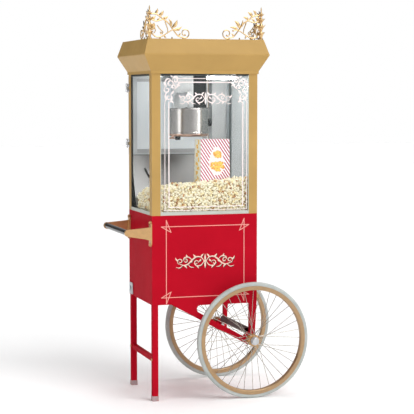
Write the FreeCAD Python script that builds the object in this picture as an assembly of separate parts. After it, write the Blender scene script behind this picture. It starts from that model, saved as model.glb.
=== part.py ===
"""Popcorn maker on a two-wheeled cart, as separate named pieces.

Row frame: millimetres, +Z up, +X to the wheel side, front glass facing -Y.
The origin is on the floor under the middle of the whole object.
The helpers take cabinet coordinates: x from the cabinet's left face and
y from its front face, so only at() and block() know where the origin is.
"""
import FreeCAD, Part
import math
import os

# Cabinet and cart.
CABINET_W = 475.5
CABINET_D = 386.0
CABINET_LEFT = -286.4
CABINET_FRONT = -CABINET_D / 2
SHEET = 2.0
WAGON_BOTTOM = 418.0
WAGON_TOP = 803.0
BASE_TOP = 806.0
POST_TOP = 1408.0
POST_W = 38.0
FOLD_D = 26.0

# Dome.
BELT_Z = 1491.0
DOME_TOP = 1555.0
BOTTOM_OVERHANG = 4.5
BELT_OVERHANG = 41.0
TOP_OVERHANG = 21.0
ORNAMENT_H = 142.0
ORNAMENT_T = 7.0

# Glass panes.
GLASS_T = 4.0
GLASS_GAP = 0.3
GLASS_TOP = 1404.0
CHANNEL_TOP = 818.0

# Wheels.
WHEEL_R = 254.0
TYRE_W = 22.0
RIM_W = 25.0
RIM_IN_R = 220.0
RIM_OUT_R = 238.0
TYRE_SEAT_R = 234.5
HUB_X = 438.8
WHEEL_OFFSET = 53.0
AXLE_R = 8.0
HUB_BORE_R = 8.05
FLANGE_R = 26.0
SPOKE_HOLE_R = 22.0
SPOKE_R = 1.2
SPOKES_PER_FLANGE = 18
NUT_OUT = 40.0

# Legs and handle.
TUBE = 25.4
TUBE_WALL = 1.6
TIP_H = 22.0
BRACE_Z = 180.0
BAR_R = 12.0
BAR_X = -105.0
BAR_Z = 732.0

# Kettle and its drive.
KETTLE_X = 222.0
KETTLE_Y = 193.0
KETTLE_R = 88.0
KETTLE_WALL = 1.5
KETTLE_LOW = 1136.0
POT_LOW = 1148.0
POT_TOP = 1258.0
TRUNNION_Z = 1197.0
TRUNNION_R = 8.0
FIT = 0.05
SHAFT_R = 4.0
SHAFT_TOP = 1307.0
ARM_LOW = 1310.0
HOUSING_LOW = 1240.0

# Rear door and controls.
DOOR_W = 372.0
DOOR_LOW = 1050.0
DOOR_TOP = 1402.0
DOOR_T = 12.0
HINGE_R = 5.0
PIN_R = 2.5
DOOR_AXIS = (-7.0, 391.0)
STORE_AXIS = (31.0, 391.0)
STORE_LOW = 516.0
STORE_TOP = 713.0
SWITCH_X = 406.0
SWITCH_Z = (1330.0, 1280.0, 1230.0)
SWITCH_TILT = 10.0

# Contents.
HEAP_LEFT = 932.0
HEAP_RIGHT = 968.0
CARTON_LOW = 930.0
CARTON_TOP = 1127.0
CARTON_X = 289.0
CARTON_Y = 59.5
CARTON_TURN = 12.0

UP = FreeCAD.Vector(0, 0, 1)
ALONG_X = FreeCAD.Vector(1, 0, 0)
ALONG_Y = FreeCAD.Vector(0, 1, 0)


def at(x, y, z):
    """Row-frame point from cabinet coordinates."""
    return FreeCAD.Vector(CABINET_LEFT + x, CABINET_FRONT + y, z)


def block(x0, x1, y0, y1, z0, z1):
    """Box between two corners given in cabinet coordinates."""
    return Part.makeBox(x1 - x0, y1 - y0, z1 - z0, at(x0, y0, z0))


def rod(radius, start, direction, length):
    """Cylinder from a row-frame point."""
    return Part.makeCylinder(radius, length, start, direction)


def bar(radius, start, end):
    """Cylinder between two row-frame points."""
    run = end - start
    return Part.makeCylinder(radius, run.Length, start, run)


def fuse(shapes):
    """One solid from shapes that overlap or touch."""
    first = shapes[0]
    if len(shapes) > 1:
        first = first.fuse(shapes[1:])
    return first.removeSplitter()


def face_xz(points, y):
    """Planar face from (x, z) pairs at one cabinet y."""
    corners = [at(x, y, z) for x, z in points]
    return Part.Face(Part.makePolygon(corners + corners[:1]))


def slab_xz(points, y0, y1):
    """Polygon in x and z, extruded from y0 to y1."""
    return face_xz(points, y0).extrude(FreeCAD.Vector(0, y1 - y0, 0))


def slab_yz(points, x0, x1):
    """Polygon in y and z, extruded from x0 to x1."""
    corners = [at(x0, y, z) for y, z in points]
    face = Part.Face(Part.makePolygon(corners + corners[:1]))
    return face.extrude(FreeCAD.Vector(x1 - x0, 0, 0))


def rectangle(overhang, z):
    """Closed rectangle around the cabinet at one height."""
    low, wide = -overhang, CABINET_W + overhang
    deep = CABINET_D + overhang
    corners = [at(low, low, z), at(wide, low, z), at(wide, deep, z), at(low, deep, z)]
    return Part.makePolygon(corners + corners[:1])


def upright_edges(shape):
    """Edges that run along Z."""
    return edges_along(shape, UP)


def edges_along(shape, direction):
    """Straight edges parallel to a direction."""
    found = []
    for edge in shape.Edges:
        if edge.Curve.TypeId != "Part::GeomLine":
            continue
        run = (edge.Vertexes[-1].Point - edge.Vertexes[0].Point).normalize()
        if abs(run.dot(direction)) > 0.999:
            found.append(edge)
    return found


def flip_y(shape):
    """Mirror image on the other side of the cabinet's mid-depth."""
    return shape.mirror(FreeCAD.Vector(0, 0, 0), ALONG_Y)


def save(name, solids):
    """Write one node from a solid or a list of solids."""
    parts = solids if isinstance(solids, list) else [solids]
    shape = parts[0] if len(parts) == 1 else Part.makeCompound(parts)
    shape.exportStep("parts/%s.step" % name)


# ---------------------------------------------------------------- wagon


def arm_top(x):
    """Height of the sloping arm's upper edge."""
    return 366.0 - 0.559 * (x - 231.0)


def bracket_opening(extra):
    """Rounded triangle between the sloping arm, the upright arm and the panel."""
    top, right = 410.0 + extra, 445.0 + extra
    low = arm_top(right) + extra
    left = 231.0 - (top - 366.0) / 0.559 - 1.2 * extra
    points = [(left, top), (right, top), (right, low)]
    shape = slab_xz(points, -40.0, 60.0)
    edges = edges_along(shape, ALONG_Y)
    sharp = [e for e in edges if abs(e.CenterOfMass.x - at(left, 0, 0).x) < 1.0]
    others = [e for e in edges if abs(e.CenterOfMass.x - at(left, 0, 0).x) >= 1.0]
    shape = shape.makeFillet(17.0 + extra, sharp)
    moved = edges_along(shape, ALONG_Y)
    corners = [m for m in moved for o in others
               if (m.CenterOfMass - o.CenterOfMass).Length < 0.5]
    return shape.makeFillet(9.0 + extra, corners)


def panel_with_bracket():
    """Front sheet of the wagon, running down into the triangular axle bracket."""
    panel = block(0, CABINET_W, 0, SHEET, WAGON_BOTTOM, WAGON_TOP)
    outline = [(60.0, 432.0), (87.0, WAGON_BOTTOM), (424.0, 231.0), (432.0, 228.0),
               (466.0, 262.0), (468.0, 283.0), (CABINET_W, WAGON_BOTTOM), (CABINET_W, 432.0)]
    bracket = slab_xz(outline, 0, SHEET)
    boss = rod(28.0, at(HUB_X, 0, WHEEL_R), ALONG_Y, SHEET + 4.0)
    depth = block(150, 449, SHEET, FOLD_D, 230, WAGON_BOTTOM)
    fold = bracket_opening(1.8).common(depth)
    sheet = fuse([panel, bracket, fold]).cut(bracket_opening(0.0))
    sheet = fuse([sheet, boss])
    return sheet.cut(rod(AXLE_R + FIT, at(HUB_X, -5, WHEEL_R), ALONG_Y, 60.0))


def wagon():
    """Red cart box: four panels, floor and deck."""
    front = panel_with_bracket()
    save("wagon_front_panel", front)
    back = flip_y(front)
    back = back.cut(block(48, 430, 380, 390, STORE_LOW + 8, STORE_TOP - 8))
    back = back.cut(block(58, 417, 380, 390, 727, 794))
    save("wagon_back_panel", back)
    deep = CABINET_D - SHEET
    save("wagon_left_panel", block(0, SHEET, SHEET, deep, WAGON_BOTTOM, WAGON_TOP))
    right = CABINET_W - SHEET
    save("wagon_right_panel", block(right, CABINET_W, SHEET, deep, WAGON_BOTTOM, WAGON_TOP))
    floor = block(SHEET, right, SHEET, deep, WAGON_BOTTOM + 0.5, WAGON_BOTTOM + 2.5)
    floor = floor.cut(leg_space(SHEET)).cut(leg_space(deep - TUBE))
    floor = floor.cut(block(150, right, SHEET, 27.0, 400, 430))
    floor = floor.cut(block(150, right, 359.0, deep, 400, 430))
    save("wagon_floor", floor)
    deck = block(SHEET, right, SHEET, deep, WAGON_TOP - 3.0, WAGON_TOP)
    save("wagon_deck", fuse([deck.cut(kernel_slots(790.0, 810.0))] + drawer_rails()))


def leg_space(y):
    """Clearance for one leg passing through the floor."""
    return block(SHEET, SHEET + TUBE, y, y + TUBE, 400, 450)


def kernel_slots(z0, z1):
    """Slots that let unpopped kernels fall to the drawer."""
    slots = []
    for row in range(3):
        for column in range(6):
            x = 85.0 + 55.0 * column
            y = 225.0 + 16.0 * row
            slots.append(block(x, x + 40.0, y, y + 5.0, z0, z1))
    return Part.makeCompound(slots)


def drawer():
    """Open tray under the deck for unpopped kernels, with its red front."""
    outer = block(62, 413, 195, 384, 731, 786)
    tray = outer.cut(block(64, 411, 197, 386, 733, 790))
    front = block(52, 423, 386.4, 388.4, 722, 797)
    web = block(62, 413, 382, 387, 731, 786)
    lip = block(190, 285, 388.4, 402, 745, 748)
    hook = block(190, 285, 400, 402, 735, 748)
    save("kernel_drawer", fuse([tray, web, front, lip, hook]))


def drawer_rails():
    """Angle rails that hang from the deck and carry the drawer."""
    shelf = block(50, 66, 190, 384, 729, 730.7)
    wall = block(50, 51.5, 190, 384, 729, WAGON_TOP - 2.0)
    left = fuse([shelf, wall])
    return [left, mirror_x(left)]


def mirror_x(shape):
    """Mirror image on the other side of the cabinet's mid-width."""
    middle = FreeCAD.Vector(CABINET_LEFT + CABINET_W / 2, 0, 0)
    return shape.mirror(middle, ALONG_X)


def legs():
    """Two square legs on the handle side, their brace and plastic tips."""
    for name, y in (("leg_front", SHEET), ("leg_back", CABINET_D - SHEET - TUBE)):
        outer = block(SHEET, SHEET + TUBE, y, y + TUBE, 3.0, 560.0)
        outer = outer.makeFillet(2.5, upright_edges(outer))
        inner = block(SHEET + TUBE_WALL, SHEET + TUBE - TUBE_WALL,
                      y + TUBE_WALL, y + TUBE - TUBE_WALL, 0.0, 570.0)
        save(name, outer.cut(inner))
    tips = []
    for y in (SHEET, CABINET_D - SHEET - TUBE):
        cap = block(SHEET - 2, SHEET + TUBE + 2, y - 2, y + TUBE + 2, 0, TIP_H)
        cap = cap.makeFillet(4.0, upright_edges(cap))
        cap = cap.makeFillet(1.5, cap.Faces[-1].Edges)
        socket = block(SHEET, SHEET + TUBE, y, y + TUBE, 3.0, 60.0)
        tips.append(cap.cut(socket))
    save("leg_tips", tips)
    start = SHEET + TUBE
    end = CABINET_D - SHEET - TUBE
    brace = block(4.7, 24.7, start, end, BRACE_Z - 10, BRACE_Z + 10)
    bore = block(6.3, 23.1, start - 1, end + 1, BRACE_Z - 8.4, BRACE_Z + 8.4)
    save("leg_brace", brace.cut(bore))


# --------------------------------------------------------------- handle


def handle():
    """Two cast brackets on the left side and the round bar between them."""
    bracket = cast_bracket()
    save("handle_bracket_front", bracket)
    save("handle_bracket_back", flip_y(bracket))
    ends = 10.2
    save("handle_bar", rod(BAR_R, at(BAR_X, ends, BAR_Z), ALONG_Y, CABINET_D - 2 * ends))


def cast_bracket():
    """Flange with rounded ears and a tapering arm that ends in a ring."""
    flange = block(-6, 0, 0, 30, 681, 770)
    ears = [rod(9.0, at(-6, 14, z), ALONG_X, 6.0) for z in (679.0, 772.0)]
    arm = slab_xz([(-4, 696), (-4, 755), (-30, 752), (BAR_X, 746), (BAR_X, 717), (-30, 704)], 0, 10)
    ring = rod(15.0, at(BAR_X, 0, BAR_Z), ALONG_Y, 10)
    body = fuse([flange, arm, ring] + ears)
    hole = rod(3.2, at(-10, 14, 772.0), ALONG_X, 14)
    low = rod(3.2, at(-10, 14, 679.0), ALONG_X, 14)
    return body.cut(hole).cut(low)


def bolts():
    """Domed bolts of the handle brackets and of the leg brace."""
    found = []
    for y in (14.0, CABINET_D - 14.0):
        for z in (679.0, 772.0):
            head = rod(6.0, at(-10, y, z), ALONG_X, 4.0)
            head = head.makeFillet(2.0, [head.Edges[0]])
            shank = rod(3.1, at(-6.5, y, z), ALONG_X, 6.5)
            found.append(fuse([head, shank]))
    for y in (SHEET + TUBE / 2, CABINET_D - SHEET - TUBE / 2):
        found.append(rod(6.0, at(SHEET - 3.5, y, BRACE_Z), ALONG_X, 3.5))
    save("panel_bolts", found)


# --------------------------------------------------------------- wheels


def tyre(y):
    """Solid rubber tyre seated in the rim's channel."""
    start = at(HUB_X, y - TYRE_W / 2, WHEEL_R)
    tread = rod(WHEEL_R, start, ALONG_Y, TYRE_W)
    tread = tread.makeFillet(8.0, [e for e in tread.Edges if e.Length > 500])
    seat = rod(TYRE_SEAT_R, at(HUB_X, y - 40, WHEEL_R), ALONG_Y, 80.0)
    walls = [ring_of(RIM_OUT_R + 0.3, TYRE_SEAT_R - 2, y - 20, 11.6),
             ring_of(RIM_OUT_R + 0.3, TYRE_SEAT_R - 2, y + 8.4, 11.6)]
    return tread.cut(seat).cut(walls[0]).cut(walls[1])


def ring_of(outer, inner, y, width):
    """Flat ring about the axle line."""
    start = at(HUB_X, y, WHEEL_R)
    return rod(outer, start, ALONG_Y, width).cut(rod(inner, start, ALONG_Y, width))


def rim(y):
    """Hoop with a channel for the tyre and holes for the spoke ends."""
    hoop = ring_of(RIM_OUT_R, RIM_IN_R, y - RIM_W / 2, RIM_W)
    hoop = hoop.cut(ring_of(RIM_OUT_R + 2, TYRE_SEAT_R, y - 8.5, 17.0))
    ends = [e for e in hoop.Edges if abs(e.Length - 2 * math.pi * RIM_IN_R) < 1]
    return hoop.makeFillet(4.0, ends)


def hub(y, outward):
    """Spool with two flanges, turning on the axle."""
    barrel = rod(14.0, at(HUB_X, y - 24, WHEEL_R), ALONG_Y, 48.0)
    flanges = [rod(FLANGE_R, at(HUB_X, y + side * 16 - 1.5, WHEEL_R), ALONG_Y, 3.0)
               for side in (-1, 1)]
    nose = rod(17.0, at(HUB_X, y + outward * 20 - 4, WHEEL_R), ALONG_Y, 8.0)
    body = fuse([barrel, nose] + flanges)
    return body.cut(rod(HUB_BORE_R, at(HUB_X, y - 40, WHEEL_R), ALONG_Y, 80.0))


def spokes(y):
    """Crossed spokes from both hub flanges to the rim."""
    found = []
    step = 360.0 / SPOKES_PER_FLANGE
    for side in (-1, 1):
        for index in range(SPOKES_PER_FLANGE):
            lead = 1 if index % 2 else -1
            hub_angle = math.radians(step * index + (0 if side > 0 else step / 2))
            rim_angle = hub_angle + lead * math.radians(2 * step)
            skew = 3.0 * lead
            start = wheel_point(SPOKE_HOLE_R, hub_angle, y + side * (16 + skew))
            end = wheel_point(RIM_IN_R - 0.05, rim_angle, y + side * 4 + 0.8 * lead)
            found.append(bar(SPOKE_R, start, end))
    return found


def wheel_point(radius, angle, y):
    """Point at a radius and angle about the axle."""
    x = HUB_X + radius * math.cos(angle)
    return at(x, y, WHEEL_R + radius * math.sin(angle))


def wheels():
    """Both cart wheels, their stub axles, the crossmember and the end nuts."""
    for name, y, outward in (("front", -WHEEL_OFFSET, -1), ("back", CABINET_D + WHEEL_OFFSET, 1)):
        save(name + "_tyre", tyre(y))
        save(name + "_rim", rim(y))
        save(name + "_hub", hub(y, outward))
        save(name + "_spokes", spokes(y))
    low = WHEEL_R + 21.0
    tube = block(HUB_X - 11, HUB_X + 11, FOLD_D, CABINET_D - FOLD_D, low, low + 22)
    bore = block(HUB_X - 9, HUB_X + 9, 0, CABINET_D, low + 2, low + 20)
    save("axle_crossmember", tube.cut(bore))
    end = WHEEL_OFFSET + 34.0
    stub = rod(AXLE_R, at(HUB_X, -end, WHEEL_R), ALONG_Y, end + 24.0)
    stub = fuse([stub, rod(12.0, at(HUB_X, -28.5, WHEEL_R), ALONG_Y, 28.3)])
    save("stub_axles", [stub, flip_y(stub)])
    nut = hex_nut()
    save("axle_nuts", [nut, flip_y(nut)])


def hex_nut():
    """Hexagon cap nut with a washer face on the axle's front end."""
    y = -WHEEL_OFFSET - NUT_OUT
    corners = []
    for index in range(6):
        angle = math.radians(60 * index + 30)
        corners.append((HUB_X + 17.5 * math.cos(angle), WHEEL_R + 17.5 * math.sin(angle)))
    head = slab_xz(corners, y + 3, -WHEEL_OFFSET - 26.5)
    cap = rod(14.5, at(HUB_X, y, WHEEL_R), ALONG_Y, 6.0)
    cap = cap.makeFillet(2.5, [e for e in cap.Edges if e.CenterOfMass.y < at(0, y + 1, 0).y])
    washer = rod(18.5, at(HUB_X, -WHEEL_OFFSET - 26.5, WHEEL_R), ALONG_Y, 2.0)
    body = fuse([head, cap, washer])
    return body.cut(rod(AXLE_R, at(HUB_X, -WHEEL_OFFSET - 34.0, WHEEL_R), ALONG_Y, 40.0))


# -------------------------------------------------------------- cabinet


def corner_post(x, y, turn_x, turn_y):
    """Angle-section post; turn_x and turn_y give the way its two faces run."""
    x0, x1 = sorted((x, x + turn_x * POST_W))
    y0, y1 = sorted((y, y + turn_y * SHEET))
    face = block(x0, x1, y0, y1, WAGON_TOP, POST_TOP)
    x2, x3 = sorted((x, x + turn_x * SHEET))
    y2, y3 = sorted((y, y + turn_y * POST_W))
    side = block(x2, x3, y2, y3, WAGON_TOP, POST_TOP)
    return fuse([face, side])


def posts():
    """Front corner posts, and the rear frame with its own two posts."""
    save("post_front_left", corner_post(0, 0, 1, 1))
    save("post_front_right", corner_post(CABINET_W, 0, -1, 1))
    save("rear_frame", rear_frame())


def panes():
    """Front and side glass, and the base pan that holds them in its channels."""
    inset = SHEET + GLASS_GAP
    far = CABINET_W - inset
    front = block(inset, far, inset, inset + GLASS_T, 808.2, GLASS_TOP)
    save("front_glass", front)
    y0 = inset + GLASS_T + GLASS_GAP
    y1 = CABINET_D - SHEET - GLASS_GAP
    save("left_glass", block(inset, inset + GLASS_T, y0, y1, 808.2, GLASS_TOP))
    save("right_glass", block(far - GLASS_T, far, y0, y1, 808.2, GLASS_TOP))
    slot = block(38.0, 438.0, 2.2, 6.4, 808.0, CHANNEL_TOP + 2)
    along = block(38.4, 437.1, 0.4, 8.2, WAGON_TOP, CHANNEL_TOP)
    along = along.cut(slot).cut(block(38.0, 438.0, 2.2, 9.0, WAGON_TOP - 1, BASE_TOP))
    side = block(0.4, 8.2, 38.4, 347.6, WAGON_TOP, CHANNEL_TOP)
    side = side.cut(block(2.2, 6.4, 38.0, 348.0, 808.0, CHANNEL_TOP + 2))
    side = side.cut(block(2.2, 9.0, 38.0, 348.0, WAGON_TOP - 1, BASE_TOP))
    other = mirror_x(side)
    base = block(2.3, CABINET_W - 2.3, 2.3, CABINET_D - 2.3, WAGON_TOP, BASE_TOP)
    base = base.cut(kernel_slots(800.0, 810.0))
    save("cabinet_base", fuse([base, along, side, other]))


def dome():
    """Sheet-metal canopy: flared skirt, sloping cap and the ceiling pan."""
    skirt = Part.makeLoft([rectangle(BOTTOM_OVERHANG, 1420),
                           rectangle(BELT_OVERHANG, BELT_Z - 4)], True)
    skirt_in = Part.makeLoft([rectangle(BOTTOM_OVERHANG - 2, 1420),
                              rectangle(BELT_OVERHANG - 2, BELT_Z - 4)], True)
    lip = Part.Face(rectangle(BOTTOM_OVERHANG, POST_TOP)).extrude(UP * 12)
    lip_in = Part.Face(rectangle(BOTTOM_OVERHANG - 2, POST_TOP)).extrude(UP * 12)
    belt = Part.Face(rectangle(BELT_OVERHANG, BELT_Z - 4)).extrude(UP * 4)
    belt_in = Part.Face(rectangle(BELT_OVERHANG - 2, BELT_Z - 4)).extrude(UP * 4)
    ledge = Part.Face(rectangle(BOTTOM_OVERHANG, POST_TOP)).extrude(UP * 1.5)
    ledge = ledge.cut(Part.Face(rectangle(-14.0, POST_TOP)).extrude(UP * 1.5))
    shell = fuse([lip, skirt, belt]).cut(fuse([lip_in, skirt_in, belt_in]))
    save("dome_skirt", fuse([shell, ledge]))
    cap = Part.makeLoft([rectangle(BELT_OVERHANG, BELT_Z), rectangle(TOP_OVERHANG, DOME_TOP)], True)
    hollow = Part.makeLoft([rectangle(BELT_OVERHANG - 2, BELT_Z),
                            rectangle(TOP_OVERHANG - 2, DOME_TOP - 2)], True)
    flange = Part.Face(rectangle(BELT_OVERHANG, BELT_Z)).extrude(UP * 1.5)
    flange = flange.cut(Part.Face(rectangle(BELT_OVERHANG - 14, BELT_Z)).extrude(UP * 1.5))
    save("dome_cap", fuse([cap.cut(hollow), flange]))
    pan = block(8, CABINET_W - 8, 8, CABINET_D - 8, 1404.5, 1406.0)
    rim_pan = block(8, CABINET_W - 8, 8, CABINET_D - 8, 1404.5, POST_TOP)
    rim_pan = rim_pan.cut(block(10, CABINET_W - 10, 10, CABINET_D - 10, 1404, POST_TOP + 1))
    save("ceiling_panel", fuse([pan, rim_pan]))


def scroll_ring(centre_u, centre_v, radius, width, open_from, open_to):
    """Flat ring with one sector left open, as (u, v) plate geometry."""
    middle = FreeCAD.Vector(centre_u, 0, centre_v)
    outer = Part.makeCylinder(radius, ORNAMENT_T, middle, ALONG_Y)
    inner = Part.makeCylinder(radius - width, ORNAMENT_T, middle, ALONG_Y)
    ring = outer.cut(inner)
    if open_to > open_from:
        points = [middle]
        for index in range(7):
            angle = math.radians(open_from + (open_to - open_from) * index / 6)
            points.append(middle + FreeCAD.Vector(math.cos(angle), 0, math.sin(angle)) * radius * 1.6)
        wedge = Part.Face(Part.makePolygon(points + points[:1]))
        ring = ring.cut(wedge.extrude(FreeCAD.Vector(0, ORNAMENT_T, 0)))
    return ring


def ornament_wing(length):
    """Filigree plate along +u from the corner, standing on the dome's top."""
    reach = length / 180.0
    leaf = [(0, 0), (16, 0), (30, 14), (48, 22), (66, 26), (84, 40), (104, 74), (92, 62),
            (76, 46), (60, 46), (44, 60), (26, 64), (12, 96), (0, 110)]
    points = [FreeCAD.Vector(u * reach, 0, v) for u, v in leaf]
    plate = Part.Face(Part.makePolygon(points + points[:1]))
    plate = plate.extrude(FreeCAD.Vector(0, ORNAMENT_T, 0))
    foot = Part.makeBox(150 * reach, ORNAMENT_T, 5)
    ribs = [Part.makeBox(6, ORNAMENT_T, 30, FreeCAD.Vector(112 * reach, 0, 3)),
            Part.makeBox(6, ORNAMENT_T, 36, FreeCAD.Vector(74 * reach, 0, 3))]
    rings = [scroll_ring(154 * reach, 26, 24, 7, -80, -10),
             scroll_ring(50 * reach, 62, 19, 6, 200, 260),
             scroll_ring(104 * reach, 44, 17, 6, 0, 0)]
    hole = Part.makeCylinder(7, ORNAMENT_T, FreeCAD.Vector(22 * reach, 0, 40), ALONG_Y)
    return fuse([plate.cut(hole), foot] + ribs + rings)


def ornament(depth_length):
    """Corner ornament at the origin: front wing, side wing and the spire."""
    front = ornament_wing(180.0)
    side = ornament_wing(depth_length)
    side = side.mirror(FreeCAD.Vector(0, 0, 0), ALONG_Y)
    side.rotate(FreeCAD.Vector(0, 0, 0), UP, 90)
    spire = Part.makeCone(11, 1.2, ORNAMENT_H - 90, FreeCAD.Vector(4, 4, 90), UP)
    stem = Part.makeCylinder(8, 92, FreeCAD.Vector(4, 4, 0), UP)
    ball = Part.makeSphere(12, FreeCAD.Vector(4, 4, 86))
    return fuse([front, side, spire, stem, ball])


def ornaments():
    """The same casting on both front corners, handed."""
    left = ornament(150.0)
    left.translate(at(-TOP_OVERHANG + 9, -TOP_OVERHANG + 9, DOME_TOP))
    save("corner_ornament_left", left)
    save("corner_ornament_right", mirror_x(left))


# ------------------------------------------------------- rear and drive


def rear():
    """Folded apron under the door, the control box and the power inlet."""
    slope = [(383.4, 1035.0), (383.4, 1047.0), (376.0, 1047.0), (283.0, BASE_TOP),
             (285.0, BASE_TOP), (377.4, 1045.0), (382.0, 1045.0), (382.0, BASE_TOP),
             (383.7, BASE_TOP)]
    apron = slab_yz(slope, 8.6, CABINET_W - 8.6)
    slot = rod(5.0, at(66, 330, 985), ALONG_Y, 30).fuse(rod(5.0, at(80, 330, 950), ALONG_Y, 30))
    web = slab_xz([(61.3, 983), (70.7, 987), (84.7, 952), (75.3, 948)], 330, 360)
    save("rear_apron", apron.cut(fuse([slot, web])))
    outer = block(376, 440, 330, 383.8, 1049, 1404)
    box = outer.cut(block(378, 438, 332, 382, 1051, 1402))
    for z in SWITCH_Z:
        box = box.cut(block(SWITCH_X - 8.6, SWITCH_X + 8.6, 380, 390, z - 13, z + 13))
    save("control_box", box)
    plate = block(-3, 0, 320, 378, 422, 474)
    plate = plate.makeFillet(8.0, edges_along(plate, ALONG_X))
    well = block(-4, -1.2, 335, 363, 436, 460)
    pins = [block(-2.5, -1.2, y, y + 3, 444, 452) for y in (341.0, 347.5, 354.0)]
    save("power_inlet", plate.cut(well).fuse(pins).removeSplitter())


def rear_frame():
    """Two posts, head, sill and stile, with openings for the switches."""
    left = corner_post(0, CABINET_D, 1, -1)
    right = corner_post(CABINET_W, CABINET_D, -1, -1)
    head = block(30, 445, CABINET_D - SHEET, CABINET_D, 1392, POST_TOP)
    sill = block(30, 445, CABINET_D - SHEET, CABINET_D, 1036, 1056)
    stile = block(374, 442, CABINET_D - SHEET, CABINET_D, 1040, 1400)
    frame = fuse([left, right, head, sill, stile])
    for z in SWITCH_Z:
        frame = frame.cut(block(SWITCH_X - 8.6, SWITCH_X + 8.6, 380, 390, z - 13, z + 13))
    return frame


def switches():
    """Three rockers, each drawn with its lower half pressed in."""
    outline = [(-3.0, -2.0), (0.0, -9.5), (7.0, -10.0), (5.0, 0.0),
               (7.0, 10.0), (0.0, 9.5), (-3.0, 2.0)]
    for name, z in zip(("switch_heat", "switch_motor", "switch_light"), SWITCH_Z):
        points = [(CABINET_D - 1 + y, z + v) for y, v in outline]
        pivot = rod(3.0, at(SWITCH_X - 8.3, CABINET_D - 1, z), ALONG_X, 16.6)
        rocker = fuse([slab_yz(points, SWITCH_X - 8, SWITCH_X + 8), pivot])
        rocker.rotate(at(0, CABINET_D - 1, z), ALONG_X, SWITCH_TILT)
        save(name, rocker)


def hinge_fixed(axis, low, leaf):
    """Pin with domed ends, two end knuckles and the leaf they are fixed to."""
    x, y = axis
    pin = rod(PIN_R, at(x, y, low), UP, 34)
    ends = [rod(HINGE_R, at(x, y, low), UP, 9.8), rod(HINGE_R, at(x, y, low + 24.2), UP, 9.8)]
    balls = [Part.makeSphere(HINGE_R - 0.4, at(x, y, z)) for z in (low, low + 34)]
    x0, x1, y0, y1 = leaf
    leaves = [block(x0, x1, y0, y1, low, low + 9.8), block(x0, x1, y0, y1, low + 24.2, low + 34)]
    return fuse([pin] + ends + balls + leaves)


def hinge_moving(axis, low, leaf):
    """Middle knuckle with its leaf, bored to turn on the pin."""
    x, y = axis
    x0, x1, y0, y1 = leaf
    knuckle = rod(HINGE_R, at(x, y, low + 10), UP, 14)
    plate = block(x0, x1, y0, y1, low + 10, low + 24)
    bore = rod(PIN_R + FIT, at(x, y, low), UP, 34)
    return fuse([knuckle, plate]), bore


def doors():
    """Upper rear door on two barrel hinges, and the storage door below."""
    y0 = CABINET_D + 0.5
    frame = block(2, DOOR_W, y0, y0 + DOOR_T, DOOR_LOW, DOOR_TOP)
    window = block(32, DOOR_W - 30, y0 - 1, y0 + DOOR_T + 1, DOOR_LOW + 30, DOOR_TOP - 30)
    rebate = block(26, DOOR_W - 24, y0 - 1, y0 + 5, DOOR_LOW + 24, DOOR_TOP - 24)
    frame = frame.cut(window).cut(rebate)
    pull = door_pull(DOOR_W - 15, y0 + DOOR_T, 1170, 1290)
    fixed = []
    solids = [frame, pull]
    bores = []
    for low in (1084.0, 1332.0):
        knuckle, bore = hinge_moving(DOOR_AXIS, low, (-7, 6, 389, 393))
        solids.append(knuckle)
        bores.append(bore)
        fixed.append(hinge_fixed(DOOR_AXIS, low, (-6, 0, 362, 391)))
    save("rear_door_frame", fuse(solids).cut(Part.makeCompound(bores)))
    pane = block(26.3, DOOR_W - 24.3, y0 + 0.5, y0 + 4.7, DOOR_LOW + 24.3, DOOR_TOP - 24.3)
    save("rear_door_pane", pane)
    panel = block(38, 437, y0, y0 + 10, STORE_LOW, STORE_TOP)
    panel = panel.cut(block(40, 435, y0 - 1, y0 + 8, STORE_LOW + 2, STORE_TOP - 2))
    solids = [panel, door_pull(420, y0 + 10, 575, 655)]
    bores = []
    for low in (538.0, 656.0):
        knuckle, bore = hinge_moving(STORE_AXIS, low, (31, 40, 389, 393))
        solids.append(knuckle)
        bores.append(bore)
        fixed.append(hinge_fixed(STORE_AXIS, low, (10, 30, 386, 391)))
    save("storage_door", fuse(solids).cut(Part.makeCompound(bores)))
    save("door_hinges", fixed)


def door_pull(x, y, low, high):
    """Bent round handle standing off a door."""
    grip = rod(4.0, at(x, y + 24, low), UP, high - low)
    feet = [rod(3.5, at(x, y - 1, z), ALONG_Y, 25) for z in (low + 8.0, high - 8.0)]
    return fuse([grip] + feet)


def drive():
    """Drive housing with its nose, the motor, the kettle mast and the lamp."""
    shell = block(189, 280, 306, 346, HOUSING_LOW, 1404.4)
    shell = shell.cut(block(190.5, 278.5, 307.5, 344.5, HOUSING_LOW + 1.5, 1403))
    nose = block(KETTLE_X - 13, KETTLE_X + 13, KETTLE_Y - 18, 306, ARM_LOW, ARM_LOW + 20)
    nose = nose.makeFillet(6.0, edges_along(nose, ALONG_Y))
    save("drive_housing", fuse([shell, nose]))
    motor = rod(17.0, at(235, 326, 1310), UP, 80)
    save("drive_motor", fuse([motor, rod(5.0, at(235, 326, 1260), UP, 60)]))
    plate = block(284, 352, 340, 352, 1150, 1404.4)
    arm = block(314, 322, KETTLE_Y, 341, 1180, 1214)
    boss = rod(17.0, at(314, KETTLE_Y, TRUNNION_Z), ALONG_X, 12)
    bore = rod(TRUNNION_R + FIT, at(300, KETTLE_Y, TRUNNION_Z), ALONG_X, 40)
    save("kettle_mast", fuse([plate, arm, boss]).cut(bore))
    tray = block(268, 403, 58, 90, 1398, 1404.4)
    save("lamp_holder", tray.cut(block(270, 401, 60, 88, 1390, 1402)))
    lamp = block(273, 398, 62, 86, 1385, 1401.5)
    save("lamp_tube", lamp.makeFillet(6.0, edges_along(lamp, ALONG_X)))


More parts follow.
